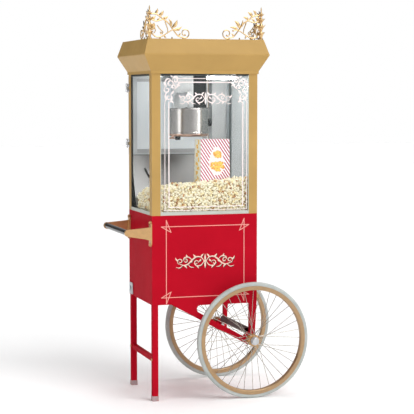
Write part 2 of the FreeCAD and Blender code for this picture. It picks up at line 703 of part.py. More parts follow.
def kettle():
    """Tilting pot with its heater base, half lid, dump handle and agitator."""
    centre = at(KETTLE_X, KETTLE_Y, 0)
    pot = rod(KETTLE_R, centre + UP * POT_LOW, UP, POT_TOP - POT_LOW)
    reach = KETTLE_X + KETTLE_R
    pin = rod(TRUNNION_R, at(reach - 6, KETTLE_Y, TRUNNION_Z), ALONG_X, 25.0)
    lid = rod(KETTLE_R + 3, centre + UP * POT_TOP, UP, 2.0)
    cavity = rod(KETTLE_R - KETTLE_WALL, centre + UP * (POT_LOW + 2), UP, POT_TOP - POT_LOW - 2)
    mouth = block(KETTLE_X + 4, KETTLE_X + 84, KETTLE_Y - 80, KETTLE_Y + 80, POT_TOP - 1, POT_TOP + 3)
    mouth = mouth.common(rod(81.0, centre + UP * (POT_TOP - 1), UP, 4.0))
    hole = rod(14.0, centre + UP * (POT_TOP - 1), UP, 4.0)
    pivot = rod(3.0, centre + UP * (POT_LOW + 1), UP, 12.0)
    body = fuse([pot, pin, lid]).cut(cavity).cut(mouth).cut(hole)
    save("kettle_pot", fuse([body, pivot]))
    base = rod(KETTLE_R, centre + UP * KETTLE_LOW, UP, POT_LOW - KETTLE_LOW)
    base = base.makeFillet(9.0, [e for e in base.Edges if abs(e.CenterOfMass.z - KETTLE_LOW) < 0.1])
    stem = bar(3.2, at(152, 152, 1142), at(119, 133, 1130))
    grip = bar(3.2, at(119, 133, 1130), at(141, 127, 1130))
    elbow = Part.makeSphere(3.6, at(119, 133, 1130))
    save("kettle_base", fuse([base, stem, grip, elbow]))
    knob = bar(7.5, at(141, 127, 1130), at(163, 120, 1130))
    save("kettle_knob", knob.makeFillet(3.0, [e for e in knob.Edges if e.Length > 40]))
    flap = rod(KETTLE_R + 1, centre + UP * (POT_TOP + 2.3), UP, 1.6)
    flap = flap.common(block(KETTLE_X + 6, KETTLE_X + 100, 60, 320, POT_TOP, POT_TOP + 9))
    flap = flap.cut(rod(16.0, centre + UP * (POT_TOP + 1), UP, 5.0))
    tab_x = KETTLE_X + KETTLE_R
    tab = block(tab_x - 4, tab_x + 12, KETTLE_Y - 8, KETTLE_Y + 8, POT_TOP + 2.3, POT_TOP + 3.9)
    barrels = [rod(2.2, at(KETTLE_X + 6, KETTLE_Y + y, POT_TOP + 4.4), ALONG_Y, 30)
               for y in (-62.0, 32.0)]
    save("kettle_flap", fuse([flap, tab] + barrels))
    low = POT_LOW + 3.2
    shaft = rod(SHAFT_R, centre + UP * (low + 2), UP, SHAFT_TOP - low - 2)
    boss = rod(9.0, centre + UP * low, UP, 12.0)
    y0, y1 = KETTLE_Y - 4, KETTLE_Y + 4
    blade = block(KETTLE_X - 70, KETTLE_X + 70, y0, y1, low, low + 7)
    prongs = [block(x - 2, x + 2, y0, y1, low + 5, low + 26)
              for x in (KETTLE_X - 42, KETTLE_X + 42)]
    agitator = fuse([shaft, boss, blade] + prongs)
    save("agitator", agitator.cut(rod(3.0 + FIT, centre + UP * 1140, UP, 22.0)))


# ------------------------------------------------------------- contents


def carton(grow, low, high):
    """Tapered box block; grow moves every wall outward."""
    rings = []
    for z in (CARTON_LOW, CARTON_TOP):
        part = (z - CARTON_LOW) / (CARTON_TOP - CARTON_LOW)
        half_x = 75.0 - 3.0 * part + grow
        half_y = 28.0 - 2.0 * part + grow
        corners = [at(CARTON_X + sx * half_x, CARTON_Y + sy * half_y, z)
                   for sx, sy in ((-1, -1), (1, -1), (1, 1), (-1, 1))]
        rings.append(Part.makePolygon(corners + corners[:1]))
    shape = Part.makeLoft(rings, True)
    shape.rotate(at(CARTON_X, CARTON_Y, 0), UP, CARTON_TURN)
    return shape.common(block(200, 400, -20, 140, low, high))


def heap_outline(x, top):
    """Section of the heap at one x; top is its height at the front glass."""
    points = [(8.6, BASE_TOP + 0.2), (281.0, BASE_TOP + 0.2), (306.0, 876.0), (235.0, top - 38.0),
              (150.0, top - 15.0), (60.0, top - 5.0), (8.6, top)]
    corners = [at(x, y, z) for y, z in points]
    return Part.makePolygon(corners + corners[:1])


def contents():
    """Popped corn on the deck and the serving carton standing in it."""
    ends = [heap_outline(8.6, HEAP_LEFT), heap_outline(CABINET_W - 8.6, HEAP_RIGHT)]
    heap = Part.makeLoft(ends, True, True)
    heap = heap.cut(carton(0.4, CARTON_LOW - 0.4, CARTON_TOP))
    save("popcorn_heap", heap)
    walls = carton(0.0, CARTON_LOW, CARTON_TOP)
    save("serving_carton", walls.cut(carton(-1.2, CARTON_LOW + 1.2, CARTON_TOP + 1)))


def build():
    """Make every node."""
    os.makedirs("parts", exist_ok=True)
    wagon()
    drawer()
    legs()
    handle()
    bolts()
    wheels()
    posts()
    panes()
    dome()
    ornaments()
    rear()
    switches()
    doors()
    drive()
    kettle()
    contents()


build()
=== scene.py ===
"""Looks of the popcorn maker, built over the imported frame."""
import bpy
import bmesh
import math
import numpy
import random
from mathutils import Matrix, Vector


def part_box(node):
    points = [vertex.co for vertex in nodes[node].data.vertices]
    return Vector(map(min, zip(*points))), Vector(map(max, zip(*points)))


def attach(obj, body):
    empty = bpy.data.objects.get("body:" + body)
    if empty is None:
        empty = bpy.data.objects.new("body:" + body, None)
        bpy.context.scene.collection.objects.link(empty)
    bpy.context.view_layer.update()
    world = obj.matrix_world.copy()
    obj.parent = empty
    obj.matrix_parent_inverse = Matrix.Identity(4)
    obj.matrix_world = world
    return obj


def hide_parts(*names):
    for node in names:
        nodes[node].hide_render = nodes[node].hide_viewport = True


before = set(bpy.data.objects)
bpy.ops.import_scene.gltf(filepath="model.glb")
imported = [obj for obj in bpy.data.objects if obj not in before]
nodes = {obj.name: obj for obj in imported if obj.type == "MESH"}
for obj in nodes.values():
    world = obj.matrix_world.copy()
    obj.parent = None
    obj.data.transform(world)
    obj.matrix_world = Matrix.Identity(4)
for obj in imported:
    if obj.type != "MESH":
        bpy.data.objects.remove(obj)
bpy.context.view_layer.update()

# Cabinet corner in the row frame, in metres: the left face and the front face meet on it.
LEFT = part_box("wagon_front_panel")[0].x
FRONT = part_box("wagon_front_panel")[0].y
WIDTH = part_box("wagon_front_panel")[1].x - LEFT

# Cabinet millimetres that the looks share with the CAD model.
RIGHT = WIDTH * 1000
DECK_TOP = 806.0
DOME_TOP = 1555.0
CHANNEL_TOP = 818.2
GLASS_TOP = 1404.0
HEAP_X = 8.6
HEAP_WIDTH = 458.3
HEAP_LEFT = 932.0
HEAP_RISE = 36.0
KETTLE = Vector((222.0, 193.0, 0.0))
KETTLE_R = 88.0
CARTON = Vector((289.0, 59.5, 930.0))
CARTON_H = 197.0
CARTON_TURN = math.radians(12.0)

# How far each ornament's spire stands outside the cabinet's two faces.
ORNAMENT_OUT = 12.0

# Planes of the painted work, as cabinet y.
STRIPE_LEVEL = -0.1
SHADOW_LEVEL = -0.2
CREAM_LEVEL = -0.45
GLASS_LEVEL = 1.6
SCROLL_LEVEL = GLASS_LEVEL - 0.15


def at(x, y, z):
    """Row-frame point in metres from cabinet millimetres."""
    return Vector((LEFT + x / 1000, FRONT + y / 1000, z / 1000))


# ------------------------------------------------------------ materials


class Look:
    """A Principled material with helpers for its procedural inputs."""

    def __init__(self, name, roughness=0.5, metallic=0.0, scale=1.0):
        self.material = bpy.data.materials.new(name)
        self.material.use_nodes = True
        self.tree = self.material.node_tree
        self.shader = self.tree.nodes["Principled BSDF"]
        self.shader.inputs["Roughness"].default_value = roughness
        self.shader.inputs["Metallic"].default_value = metallic
        self.coords = self.tree.nodes.new("ShaderNodeTexCoord")
        self.mapping = self.tree.nodes.new("ShaderNodeMapping")
        self.mapping.inputs["Scale"].default_value = (scale, scale, scale)
        self.link(self.coords.outputs["Object"], self.mapping.inputs["Vector"])

    def link(self, source, target):
        self.tree.links.new(source, target)

    def noise(self, scale, detail=4.0, stretch=None, roughness=0.55):
        """Noise field; stretch squeezes it along an axis for a brushed grain."""
        node = self.tree.nodes.new("ShaderNodeTexNoise")
        node.inputs["Scale"].default_value = scale
        node.inputs["Detail"].default_value = detail
        node.inputs["Roughness"].default_value = roughness
        vector = self.mapping.outputs["Vector"]
        if stretch:
            squeeze = self.tree.nodes.new("ShaderNodeMapping")
            squeeze.inputs["Scale"].default_value = stretch
            self.link(vector, squeeze.inputs["Vector"])
            vector = squeeze.outputs["Vector"]
        self.link(vector, node.inputs["Vector"])
        return node.outputs["Fac"]

    def ramp(self, factor, stops):
        """Colour ramp over a field: stops are (position, colour)."""
        node = self.tree.nodes.new("ShaderNodeValToRGB")
        elements = node.color_ramp.elements
        while len(elements) < len(stops):
            elements.new(0.5)
        for element, (place, colour) in zip(elements, stops):
            element.position = place
            element.color = (*colour, 1.0)
        self.link(factor, node.inputs["Fac"])
        return node.outputs["Color"]

    def paint(self, factor, stops):
        """Colour ramp into the base colour."""
        self.link(self.ramp(factor, stops), self.shader.inputs["Base Color"])
        return self

    def rough(self, factor, low, high):
        """Roughness that varies between two values."""
        node = self.tree.nodes.new("ShaderNodeMapRange")
        node.inputs["To Min"].default_value = low
        node.inputs["To Max"].default_value = high
        self.link(factor, node.inputs["Value"])
        self.link(node.outputs["Result"], self.shader.inputs["Roughness"])
        return self

    def bump(self, factor, distance, strength=0.5):
        """Surface relief in metres."""
        node = self.tree.nodes.new("ShaderNodeBump")
        node.inputs["Distance"].default_value = distance
        node.inputs["Strength"].default_value = strength
        self.link(factor, node.inputs["Height"])
        self.link(node.outputs["Normal"], self.shader.inputs["Normal"])
        return self

    def set(self, **values):
        """Plain values on the shader's own sockets."""
        for key, value in values.items():
            socket = key.replace("_", " ").title().replace("Ior", "IOR")
            self.shader.inputs[socket].default_value = value
        return self


def shade(colour, factor):
    """The same colour lighter or darker."""
    return tuple(min(1.0, c * factor) for c in colour)


def enamel(name, colour, roughness, peel=0.00012):
    """Sprayed enamel: faint mottling and orange peel."""
    look = Look(name, roughness)
    cloud = look.noise(5.0, 3.0)
    look.paint(cloud, [(0.3, shade(colour, 0.92)), (0.7, shade(colour, 1.06))])
    look.rough(look.noise(34.0, 3.0), roughness * 0.85, roughness * 1.2)
    look.bump(look.noise(650.0, 2.0), peel, 0.35)
    return look


def metal(name, colour, roughness, grain=None, bump=0.00004):
    """Bare metal with an optional directional grain."""
    look = Look(name, roughness, 1.0)
    lines = look.noise(90.0, 4.0, grain) if grain else look.noise(60.0, 4.0)
    look.paint(lines, [(0.25, shade(colour, 0.88)), (0.75, shade(colour, 1.06))])
    look.rough(lines, roughness * 0.75, roughness * 1.3)
    look.bump(lines, bump, 0.4)
    return look


def palette():
    """All the materials, by name."""
    looks = {}
    looks["red"] = enamel("red_enamel", (0.450, 0.006, 0.018), 0.42)
    looks["red"].set(specular_ior_level=0.008)
    looks["gold"] = enamel("gold_enamel", (0.49, 0.305, 0.098), 0.42)
    looks["gold"].set(specular_ior_level=0.16)
    looks["cast"] = metal("cast_gold", (0.62, 0.375, 0.17), 0.36, bump=0.0002)
    looks["cast"].set(metallic=0.75)
    looks["filigree"] = metal("filigree_gold", (0.72, 0.50, 0.25), 0.34, bump=0.0003)
    looks["steel"] = metal("brushed_stainless", (0.42, 0.44, 0.46), 0.3, (0.4, 40.0, 40.0))
    looks["mirror"] = metal("polished_kettle", (0.54, 0.52, 0.50), 0.25, (1.0, 1.0, 30.0), 0.000004)
    looks["copper"] = metal("copper_base", (0.62, 0.42, 0.33), 0.28)
    looks["chrome"] = metal("bright_chrome", (0.80, 0.80, 0.82), 0.12)
    looks["zinc"] = metal("zinc_plate", (0.60, 0.61, 0.62), 0.34)
    looks["spoke"] = metal("spoke_wire", (0.44, 0.41, 0.36), 0.25)
    looks["rim"] = metal("rim_gold", (0.43, 0.28, 0.15), 0.38)
    looks["rim"].set(metallic=0.55)
    looks["grey"] = enamel("grey_panel", (0.64, 0.67, 0.69), 0.4)
    looks["dark"] = enamel("dark_steel", (0.022, 0.026, 0.028), 0.55)
    looks["dark"].set(specular_ior_level=0.2)
    # Painted shade: the axle crossmember is red enamel like the cart, darkened here for the shade
    # it sits in between the wheel brackets.
    looks["red_painted_shade"] = enamel("red_steel_painted_shade", (0.05, 0.008, 0.010), 0.5)
    looks["black"] = enamel("black_grip", (0.012, 0.012, 0.013), 0.22)
    looks["tyre"] = rubber()
    looks["tip"] = tip_plastic()
    looks["glass"] = pane_glass("clear_pane", (0.80, 0.88, 0.88), 0.02, 0.02)
    # Painted reflection: the right pane is the same glass as the others, given a grey-blue,
    # half-opaque cover for the sheen it shows when seen edge-on.
    looks["side_glass_painted_reflection"] = pane_glass("side_pane_painted_reflection", (0.58, 0.68, 0.70), 0.03, 0.45)
    looks["liner"] = metal("liner_steel", (0.80, 0.85, 0.87), 0.42, (0.4, 40.0, 40.0))
    looks["liner"].set(metallic=0.5)
    looks["apron"] = metal("apron_steel", (0.27, 0.27, 0.265), 0.38, (0.4, 40.0, 40.0))
    looks["apron"].set(metallic=0.8)
    looks["pale_steel"] = enamel("pale_channel", (0.50, 0.52, 0.46), 0.4)
    looks["pale_rubber"] = enamel("pale_gasket", (0.52, 0.55, 0.48), 0.55)
    looks["seam"] = enamel("dark_seam", (0.05, 0.06, 0.065), 0.6)
    looks["frost"] = pane_glass("frosted_pane", (0.86, 0.91, 0.94), 0.4, 0.97)
    # Painted light: the frosted rear door pane is no lamp, yet glows faintly.
    looks["frost"].set(emission_strength=0.22)
    looks["frost"].shader.inputs["Emission Color"].default_value = (0.82, 0.9, 0.94, 1.0)
    looks["lamp"] = lit("lamp_glow", (1.0, 0.98, 0.93), 45.0)
    looks["cream"] = enamel("cream_line", (0.86, 0.62, 0.50), 0.5)
    looks["pinstripe"] = enamel("pinstripe_pink", (0.83, 0.33, 0.28), 0.5)
    looks["shadow"] = enamel("black_line", (0.02, 0.015, 0.012), 0.5)
    looks["decal"] = enamel("glass_decal", (0.95, 0.84, 0.82), 0.6)
    looks["corn"] = popped_corn("popped_corn", (1.0, 0.94, 0.73), 0.33)
    looks["butter"] = popped_corn("buttery_corn", (1.0, 0.87, 0.52), 0.36)
    looks["toasted"] = popped_corn("toasted_corn", (0.74, 0.46, 0.20), 0.5)
    # Painted shade of the gaps between the kernels, on the core under them.
    looks["crumb"] = popped_corn("popcorn_shade", (0.62, 0.44, 0.22), 0.36)
    looks["stripes"] = striped_card()
    looks["plain_card"] = enamel("white_card", (0.97, 0.84, 0.82), 0.7)
    looks["yellow_card"] = enamel("yellow_card", (1.0, 0.93, 0.78), 0.7)
    looks["flake"] = enamel("orange_flake", (0.98, 0.60, 0.10), 0.65)
    looks["toasted_ink"] = enamel("toasted_ink", (0.78, 0.36, 0.05), 0.65)
    return looks


def rubber():
    """Grey moulded rubber with fine dust."""
    look = Look("grey_rubber", 0.62)
    dust = look.noise(22.0, 6.0)
    look.paint(dust, [(0.3, (0.36, 0.39, 0.375)), (0.7, (0.47, 0.50, 0.48))])
    look.rough(dust, 0.5, 0.75)
    look.bump(look.noise(420.0, 3.0), 0.0002, 0.4)
    return look


def tip_plastic():
    """Soft translucent plastic of the leg tips."""
    look = Look("tip_plastic", 0.4)
    look.paint(look.noise(30.0, 3.0), [(0.3, (0.40, 0.22, 0.22)), (0.7, (0.52, 0.33, 0.33))])
    look.set(subsurface_weight=0.3)
    look.bump(look.noise(300.0, 2.0), 0.0001, 0.3)
    return look


def pane_glass(name, colour, roughness, cover):
    """Thin pane: mostly clear, with faint smears in its gloss."""
    look = Look(name, roughness)
    smear = look.noise(3.0, 4.0, (1.0, 1.0, 0.35))
    look.paint(smear, [(0.3, shade(colour, 0.96)), (0.7, colour)])
    look.rough(smear, roughness, roughness + 0.05)
    look.set(alpha=cover, ior=1.45)
    return look


def lit(name, colour, power):
    """Glowing tube with a faint frosting."""
    look = Look(name, 0.4)
    look.paint(look.noise(60.0, 2.0), [(0.3, shade(colour, 0.95)), (0.7, colour)])
    look.set(emission_strength=power)
    look.shader.inputs["Emission Color"].default_value = (*colour, 1.0)
    look.bump(look.noise(200.0, 2.0), 0.00005, 0.2)
    return look


def popped_corn(name, flesh, hull):
    """Cream flakes with toasted hull specks; hull sets how many."""
    look = Look(name, 0.8)
    specks = look.noise(150.0, 3.0, roughness=0.6)
    toasted = (0.36, 0.13, 0.04)
    stops = [(hull - 0.03, toasted), (hull + 0.03, shade(flesh, 0.82)), (0.5, flesh),
             (0.7, shade(flesh, 1.05))]
    look.paint(specks, stops)
    look.set(specular_ior_level=0.2)
    look.bump(look.noise(330.0, 4.0), 0.0008, 0.6)
    return look


def striped_card():
    """Printed card: slanting pink-red stripes on white."""
    look = Look("striped_card", 0.6)
    slant = look.tree.nodes.new("ShaderNodeMapping")
    slant.inputs["Rotation"].default_value = (0.0, math.radians(36.0), 0.0)
    look.link(look.mapping.outputs["Vector"], slant.inputs["Vector"])
    wave = look.tree.nodes.new("ShaderNodeTexWave")
    wave.wave_type = "BANDS"
    wave.bands_direction = "X"
    wave.inputs["Scale"].default_value = 28.0
    wave.inputs["Distortion"].default_value = 0.0
    look.link(slant.outputs["Vector"], wave.inputs["Vector"])
    white, red = (1.0, 0.97, 0.97), (0.50, 0.05, 0.11)
    look.paint(wave.outputs["Fac"], [(0.50, white), (0.56, red)])
    look.bump(look.noise(240.0, 3.0), 0.00008, 0.3)
    return look


# ------------------------------------------------------------ mesh tools


class Shape:
    """Collects geometry for one piece, in cabinet millimetres."""

    def __init__(self):
        self.mesh = bmesh.new()
        self.slot = 0

    def ring_strip(self, rings, closed_ends=True, loop=False):
        """Skin over rings of points, all with the same count."""
        rows = [[self.mesh.verts.new(p) for p in ring] for ring in rings]
        count = len(rows[0])
        pairs = list(zip(rows, rows[1:]))
        if loop:
            pairs.append((rows[-1], rows[0]))
        for a, b in pairs:
            for i in range(count):
                j = (i + 1) % count
                self.face((a[i], a[j], b[j], b[i]))
        if closed_ends and not loop:
            self.face(tuple(reversed(rows[0])))
            self.face(tuple(rows[-1]))

    def face(self, corners):
        face = self.mesh.faces.new(corners)
        face.material_index = self.slot
        face.smooth = True

    def sweep(self, points, radii, flat=1.0, normal=Vector((0, 1, 0)), sides=8):
        """Tube along points; flat squeezes it along the normal."""
        rings = []
        for i, p in enumerate(points):
            ahead = points[min(i + 1, len(points) - 1)] - points[max(i - 1, 0)]
            ahead.normalize()
            side = normal.cross(ahead).normalized()
            lift = ahead.cross(side).normalized()
            radius = radii[i]
            ring = []
            for k in range(sides):
                turn = 2 * math.pi * k / sides
                ring.append(p + side * radius * math.cos(turn)
                            + lift * radius * flat * math.sin(turn))
            rings.append(ring)
        self.ring_strip(rings)

    def lathe(self, profile, centre, axis="Z", sides=64):
        """Closed profile of (radius, height) turned about an axis through centre."""
        rings = []
        for k in range(sides):
            turn = 2 * math.pi * k / sides
            c, s = math.cos(turn), math.sin(turn)
            if axis == "Z":
                ring = [centre + Vector((r * c, r * s, h)) for r, h in profile]
            else:
                ring = [centre + Vector((r * c, h, r * s)) for r, h in profile]
            rings.append(ring)
        self.ring_strip(rings, False, True)

    def plate(self, outline, lift, normal):
        """Polygon thickened along a vector."""
        low = [self.mesh.verts.new(p) for p in outline]
        high = [self.mesh.verts.new(p + normal * lift) for p in outline]
        self.face(tuple(reversed(low)))
        self.face(tuple(high))
        for i in range(len(outline)):
            j = (i + 1) % len(outline)
            self.face((low[i], low[j], high[j], high[i]))

    def bead(self, centre, radius, squash=(1.0, 1.0, 1.0)):
        """Small ball, squashed per axis."""
        place = Matrix.Translation(centre) @ Matrix.Diagonal((*squash, 1.0))
        made = bmesh.ops.create_icosphere(self.mesh, subdivisions=2, radius=radius, matrix=place)
        for face in {f for v in made["verts"] for f in v.link_faces}:
            face.material_index = self.slot
            face.smooth = True

    def leaf(self, base, tip, width, normal, bend=0.12, flat=0.3):
        """Pointed leaf from base to tip, bowed sideways in its plane."""
        side = normal.cross(tip - base)
        path = []
        radii = []
        for k in range(9):
            t = k / 8
            path.append(base.lerp(tip, t) + side * bend * math.sin(math.pi * t))
            radii.append(0.3 + width / 2 * math.sin(math.pi * t ** 0.8))
        self.sweep(path, radii, flat, normal)

    def finish(self, name, looks, body, replaced=(), crease=35.0):
        """Turns the geometry into an object that rides on a body."""
        bmesh.ops.recalc_face_normals(self.mesh, faces=self.mesh.faces)
        for vertex in self.mesh.verts:
            vertex.co = at(*vertex.co)
        data = bpy.data.meshes.new(name)
        self.mesh.to_mesh(data)
        self.mesh.free()
        for look in looks:
            data.materials.append(look.material)
        piece = bpy.data.objects.new(name, data)
        bpy.context.scene.collection.objects.link(piece)
        data.set_sharp_from_angle(angle=math.radians(crease))
        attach(piece, body)
        if replaced:
            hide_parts(*replaced)
        return piece


def smooth_path(points, steps=6):
    """Catmull-Rom curve through 2-D or 3-D points."""
    points = [Vector(p) for p in points]
    ends = [2 * points[0] - points[1]] + points + [2 * points[-1] - points[-2]]
    path = []
    for i in range(1, len(ends) - 2):
        a, b, c, d = ends[i - 1:i + 3]
        for k in range(steps):
            t = k / steps
            path.append(0.5 * ((2 * b) + (c - a) * t + (2 * a - 5 * b + 4 * c - d) * t * t
                               + (3 * b - 3 * c + d - a) * t ** 3))
    path.append(points[-1])
    return path


def spiral(centre, start_radius, end_radius, start_deg, end_deg, count=18):
    """Points of a 2-D scroll that winds from one radius to another."""
    points = []
    for k in range(count + 1):
        t = k / count
        radius = start_radius + (end_radius - start_radius) * t
        turn = math.radians(start_deg + (end_deg - start_deg) * t)
        points.append(Vector((centre[0] + radius * math.cos(turn),
                              centre[1] + radius * math.sin(turn))))
    return points


# ------------------------------------------------- camera, light and floor


def camera():
    """Front view from the handle side, just above the handle's height."""
    data = bpy.data.cameras.new("camera")
    data.sensor_width = 36.0
    data.lens = 120.3
    data.clip_end = 200.0
    eye = bpy.data.objects.new("camera", data)
    bpy.context.scene.collection.objects.link(eye)
    eye.location = at(-1572.1, -5667.2, 1311.2)
    eye.rotation_euler = (math.radians(90 - 4.566), 0.0, math.radians(-17.788))
    bpy.context.scene.camera = eye


def area_light(name, place, target, size, power, colour=(1.0, 1.0, 1.0)):
    """Square soft box aimed at a point."""
    data = bpy.data.lights.new(name, "AREA")
    data.shape = "SQUARE"
    data.size = size
    data.energy = power
    data.color = colour
    lamp = bpy.data.objects.new(name, data)
    bpy.context.scene.collection.objects.link(lamp)
    lamp.location = place
    lamp.rotation_euler = (Vector(target) - Vector(place)).to_track_quat("-Z", "Y").to_euler()


def soft_sun(name, place, power):
    """Even light from one direction, soft as a large diffuser."""
    data = bpy.data.lights.new(name, "SUN")
    data.energy = power
    data.angle = math.radians(40)
    lamp = bpy.data.objects.new(name, data)
    bpy.context.scene.collection.objects.link(lamp)
    lamp.rotation_euler = (-Vector(place)).to_track_quat("-Z", "Y").to_euler()


def sky():
    """Studio surroundings: white to the camera, with soft and dark zones for the metal."""
    world = bpy.data.worlds.new("studio")
    world.use_nodes = True
    tree = world.node_tree
    backdrop = tree.nodes["Background"]
    backdrop.inputs["Color"].default_value = (1.0, 1.0, 1.0, 1.0)
    coords = tree.nodes.new("ShaderNodeTexCoord")
    around = tree.nodes.new("ShaderNodeTexGradient")
    around.gradient_type = "RADIAL"
    tree.links.new(coords.outputs["Generated"], around.inputs["Vector"])
    ramp = tree.nodes.new("ShaderNodeValToRGB")
    stops = [(0.0, 0.4), (0.08, 1.0), (0.12, 0.15), (0.18, 0.04), (0.26, 0.08), (0.31, 1.0),
             (0.41, 0.9), (0.46, 0.15), (0.55, 0.04), (0.63, 0.35), (0.72, 0.6), (0.78, 0.1),
             (0.84, 0.04), (0.93, 0.2)]
    while len(ramp.color_ramp.elements) < len(stops):
        ramp.color_ramp.elements.new(0.5)
    for element, (place, value) in zip(ramp.color_ramp.elements, stops):
        element.position = place
        element.color = (value, value, value * 1.01, 1.0)
    tree.links.new(around.outputs["Fac"], ramp.inputs["Fac"])
    zones = tree.nodes.new("ShaderNodeBackground")
    tree.links.new(ramp.outputs["Color"], zones.inputs["Color"])
    zones.inputs["Strength"].default_value = 0.8
    path = tree.nodes.new("ShaderNodeLightPath")
    pick = tree.nodes.new("ShaderNodeMixShader")
    tree.links.new(path.outputs["Is Camera Ray"], pick.inputs["Fac"])
    tree.links.new(zones.outputs["Background"], pick.inputs[1])
    tree.links.new(backdrop.outputs["Background"], pick.inputs[2])
    tree.links.new(pick.outputs["Shader"], tree.nodes["World Output"].inputs["Surface"])
    bpy.context.scene.world = world


def studio():
    """Two soft suns and two soft boxes over a pale floor."""
    bpy.context.scene.view_settings.view_transform = "Standard"
    sky()
    soft_sun("key", (1.1, -2.6, 2.6), 1.7)
    soft_sun("top", (0.4, 0.5, 4.2), 1.3)
    area_light("fill", (-3.6, -1.6, 1.8), (0, 0, 0.9), 2.0, 24)
    area_light("strip", (2.7, -2.8, 1.5), (0, 0, 1.1), 0.7, 12)
    look = Look("floor_paper", 0.9)
    look.paint(look.noise(1.5, 2.0), [(0.3, (0.94, 0.94, 0.94)), (0.7, (0.96, 0.96, 0.96))])
    look.set(emission_strength=0.06)
    data = bpy.data.meshes.new("floor")
    reach = 30.0
    corners = [(-reach, -reach, 0), (reach, -reach, 0), (reach, reach, 0), (-reach, reach, 0)]
    data.from_pydata(corners, [], [(0, 1, 2, 3)])
    data.materials.append(look.material)
    floor = bpy.data.objects.new("floor", data)
    bpy.context.scene.collection.objects.link(floor)


def dress(looks):
    """Better materials for the CAD nodes that keep their shape."""
    wear = {
        "red": ["wagon_front_panel", "wagon_back_panel", "wagon_left_panel", "wagon_right_panel",
                "wagon_floor", "wagon_deck", "leg_front", "leg_back", "leg_brace", "storage_door",
                "kernel_drawer"],
        "gold": ["post_front_left", "post_front_right", "rear_frame", "dome_skirt", "dome_cap"],
        "cast": ["handle_bracket_front", "handle_bracket_back", "panel_bolts", "front_hub",
                 "back_hub"],
        "filigree": ["corner_ornament_left", "corner_ornament_right"],
        "steel": ["power_inlet"],
        "pale_steel": ["cabinet_base"],
        "apron": ["rear_apron"],
        "mirror": ["kettle_pot", "kettle_flap"],
        "copper": ["kettle_base"],
        "chrome": ["door_hinges"],
        "zinc": ["stub_axles", "axle_nuts", "agitator"],
        "spoke": ["front_spokes", "back_spokes"],
        "rim": ["front_rim", "back_rim"],
        "tyre": ["front_tyre", "back_tyre"],
        "grey": ["control_box", "drive_housing", "lamp_holder", "rear_door_frame"],
        "dark": ["ceiling_panel", "kettle_mast", "drive_motor"],
        # Painted shade: the crossmember gets the shade-darkened red, not the cart's red.
        "red_painted_shade": ["axle_crossmember"],
        "black": ["handle_bar", "kettle_knob", "switch_heat", "switch_motor", "switch_light"],
        "tip": ["leg_tips"],
        "glass": ["front_glass", "left_glass"],
        # Painted reflection on the right pane.
        "side_glass_painted_reflection": ["right_glass"],
        # Painted light: the rear door pane glows.
        "frost": ["rear_door_pane"],
        "lamp": ["lamp_tube"],
        "corn": ["popcorn_heap"],
        "stripes": ["serving_carton"],
    }
    for key, members in wear.items():
        for name in members:
            data = nodes[name].data
            data.materials.clear()
            data.materials.append(looks[key].material)


# ---------------------------------------------------------------- popcorn


def heap_height(x, y):
    """Top of the heap in cabinet millimetres."""
    front = HEAP_LEFT + HEAP_RISE * (x - HEAP_X) / HEAP_WIDTH
    profile = [(8.6, front), (60.0, front - 5), (150.0, front - 15), (235.0, front - 38),
               (306.0, 876.0)]
    for (y0, z0), (y1, z1) in zip(profile, profile[1:]):
        if y <= y1:
            return z0 + (z1 - z0) * (y - y0) / (y1 - y0)
    return DECK_TOP


def heap_back(z):
    """Where the heap ends towards the back, at the foot of the sloping apron."""
    return 281.0 + 25.0 * min(1.0, (z - DECK_TOP) / 70.0)


def kernel_places(chance):
    """Centres of the kernels that show: front, both sides, back and top."""
    places = []
    step = 10.5
    for i in range(int(445 / step)):
        x = 18.0 + i * step
        for k in range(int(170 / step)):
            z = 815.0 + k * step
            if z < heap_height(x, 9.0) - 6:
                places.append((x, 17.5, z))
                places.append((x + 5, 25.0, z + 5))
            if z < 872:
                places.append((x, heap_back(z) - 9, z))
        for j in range(int(280 / step)):
            y = 18.0 + j * step
            places.append((x, y, heap_height(x, y) - 9))
            places.append((x, y, heap_height(x, y) - 15))
    for j in range(int(275 / step)):
        y = 18.0 + j * step
        for k in range(int(170 / step)):
            z = 815.0 + k * step
            for x in (17.5, RIGHT - 17.5):
                if z < heap_height(x, y) - 6 and y < heap_back(z) - 8:
                    places.append((x, y, z))
    spread = numpy.array(places) + chance.uniform(-4.5, 4.5, (len(places), 3))
    spread[:, 0] = spread[:, 0].clip(17.0, RIGHT - 17.0)
    spread[:, 1] = spread[:, 1].clip(17.0, 300.0)
    return spread


def kernel_shapes(chance, count):
    """Unit kernels: balls swollen into several round lobes."""
    ball = bmesh.new()
    bmesh.ops.create_icosphere(ball, subdivisions=3, radius=1.0)
    sphere = numpy.array([v.co[:] for v in ball.verts])
    faces = numpy.array([[v.index for v in f.verts] for f in ball.faces])
    ball.free()
    shapes = []
    for _ in range(count):
        lobes = chance.normal(size=(6, 3))
        lobes /= numpy.linalg.norm(lobes, axis=1)[:, None]
        size = chance.uniform(0.7, 1.0, 6)
        swell = (numpy.exp(7.0 * (sphere @ lobes.T - 1.0)) * size).max(axis=1)
        shapes.append(sphere * (0.42 + 0.58 * swell)[:, None])
    return shapes, faces


